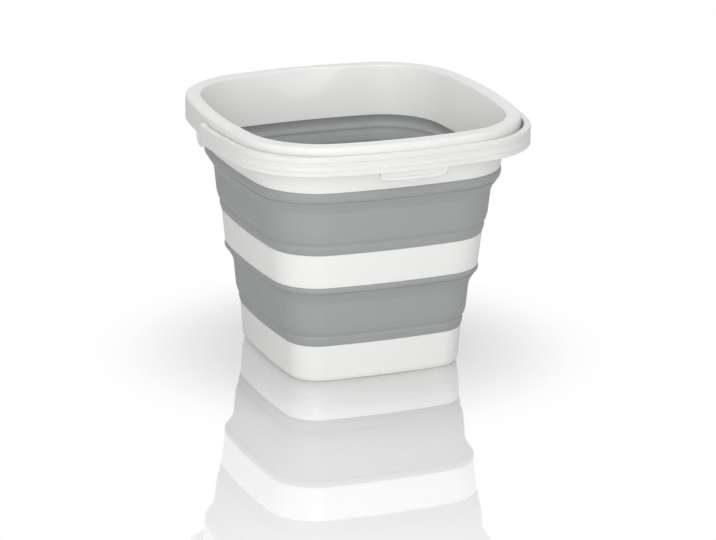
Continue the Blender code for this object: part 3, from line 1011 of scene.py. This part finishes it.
clear = tree.nodes.new("ShaderNodeBsdfTransparent").outputs["BSDF"]
sides = tree.nodes.new("ShaderNodeSeparateXYZ")
link(tree, place, sides.inputs["Vector"])
powers = [calculate(tree, "POWER", calculate(tree, "ABSOLUTE", sides.outputs[axis]),
                    UNDER_BASE_POWER) for axis in ("X", "Y")]
under = calculate(tree, "LESS_THAN", calculate(tree, "ADD", *powers),
                  UNDER_BASE ** UNDER_BASE_POWER)
to_light = blend_shaders(under, matte.outputs["BSDF"], clear)
path = tree.nodes.new("ShaderNodeLightPath").outputs
from_above = blend_shaders(path["Is Camera Ray"], to_light, seen)
behind = tree.nodes.new("ShaderNodeNewGeometry").outputs["Backfacing"]
output = tree.nodes.new("ShaderNodeOutputMaterial")
link(tree, blend_shaders(behind, from_above, clear), output.inputs["Surface"])
floor_mesh.materials.append(floor_finish)
print("floor", FLOOR_SIZE, "metres wide")

# %% [markdown]
# ## Lamps
#
# The photograph's light is soft. It comes mostly from the camera's side and from above, so the
# front is bright and the left side and the right end fall off. Four large lamps do it, and a
# small weak one over the mouth lifts the inside.

# %% Lamps
LAMP_DISTANCE = 2.5
LAMP_WIDTH = 1.3
LAMP_HEIGHT = 1.1
MIDDLE = Vector((0, 0, TOP / 2))


def direction(azimuth, elevation):
    """A unit vector from angles in degrees: 0 is straight in front, right and up are positive.

    It is (sine a times cosine e, minus cosine a times cosine e, sine e).
    """
    turn, rise = np.radians(azimuth), np.radians(elevation)
    return Vector((np.sin(turn) * np.cos(rise), -np.cos(turn) * np.cos(rise), np.sin(rise)))


def soft_lamp(name, azimuth, elevation, watts, distance=LAMP_DISTANCE, size=1.0):
    """A rectangle of light in a direction from the bucket's middle, turned towards it.

    The distance is in metres, and the size multiplies both of the lamp's sides.
    """
    lamp = bpy.data.lights.new(name, "AREA")
    lamp.shape = "RECTANGLE"
    lamp.size = LAMP_WIDTH * size
    lamp.size_y = LAMP_HEIGHT * size
    lamp.energy = watts
    holder = bpy.data.objects.new(name, lamp)
    bpy.context.scene.collection.objects.link(holder)
    towards = direction(azimuth, elevation)
    holder.location = MIDDLE + towards * distance
    holder.rotation_euler = (-towards).to_track_quat("-Z", "Y").to_euler()
    print(name, watts, "watts")


soft_lamp("front_lamp", -22, 9, 18)
soft_lamp("left_lamp", -60, 20, 4)
soft_lamp("high_lamp", -14, 35, 9.5)
soft_lamp("top_lamp", 0, 89, 6)
soft_lamp("mouth_lamp", 0, 89, 0.45, distance=0.5, size=0.25)

# %% [markdown]
# ## Surroundings
#
# The world is brighter in a band at the horizon than overhead, as a white studio wall under a
# dark ceiling is. It lights the bucket nearly evenly, but in reflections the ceiling is dark,
# which gives the edges of the mouth their thin bright and dark lines. The camera sees plain
# white.

# %% World
BAND_END = np.sin(np.radians(25))
CEILING_START = np.sin(np.radians(32))

# Strength in the band and overhead
AS_LIGHT = (0.55, 0.4)
AS_REFLECTION = (1.0, 0.2)
AS_SEEN = (1.0, 1.0)

world = bpy.data.worlds.new("white_studio")
world.use_nodes = True
bpy.context.scene.world = world
tree = world.node_tree
tree.nodes.clear()
path = tree.nodes.new("ShaderNodeLightPath").outputs
split = tree.nodes.new("ShaderNodeSeparateXYZ")
link(tree, tree.nodes.new("ShaderNodeTexCoord").outputs["Generated"], split.inputs["Vector"])


def surroundings(band, ceiling):
    """White light of one strength in the band at the horizon and another overhead."""
    made = tree.nodes.new("ShaderNodeBackground")
    made.inputs["Color"].default_value = grey_level(1)
    link(tree, spread(tree, split.outputs["Z"], band, ceiling, BAND_END, CEILING_START),
         made.inputs["Strength"])
    return made.outputs["Background"]


shown = surroundings(*AS_LIGHT)
for ray, strengths in (("Is Glossy Ray", AS_REFLECTION), ("Is Transmission Ray", AS_SEEN),
                       ("Is Camera Ray", AS_SEEN)):
    shown = blend_shaders(path[ray], shown, surroundings(*strengths))
link(tree, shown, tree.nodes.new("ShaderNodeOutputWorld").inputs["Surface"])
print("world", world.name)

# %% [markdown]
# ## Camera
#
# The camera stands 3.5 metres away with a long lens, 17 degrees above the floor and a little
# to the left of the front, rolled by about 0.6 of a degree. The shift puts the bucket where it
# stands in the frame.

# %% Camera
CAMERA_DISTANCE = 3.5
CAMERA_AZIMUTH = -22.4
CAMERA_ELEVATION = 17.09
CAMERA_ROLL = 0.64
LENS_MM = 180.2
SENSOR_MM = 36.0
SHIFT_X = 0.01047
SHIFT_Y = -0.06103

back = direction(CAMERA_AZIMUTH, CAMERA_ELEVATION)
camera_data = bpy.data.cameras.new("camera")
camera_data.lens = LENS_MM
camera_data.sensor_width = SENSOR_MM
camera_data.shift_x = SHIFT_X
camera_data.shift_y = SHIFT_Y
camera = bpy.data.objects.new("camera", camera_data)
bpy.context.scene.collection.objects.link(camera)
camera.location = MIDDLE + back * CAMERA_DISTANCE
level = (-back).to_track_quat("-Z", "Y").to_matrix()
roll = Matrix.Rotation(np.radians(CAMERA_ROLL), 3, "Z")
camera.rotation_euler = (level @ roll).to_euler()
bpy.context.scene.camera = camera
bpy.context.scene.view_settings.view_transform = "Standard"
print("camera at", [round(number, 3) for number in camera.location])
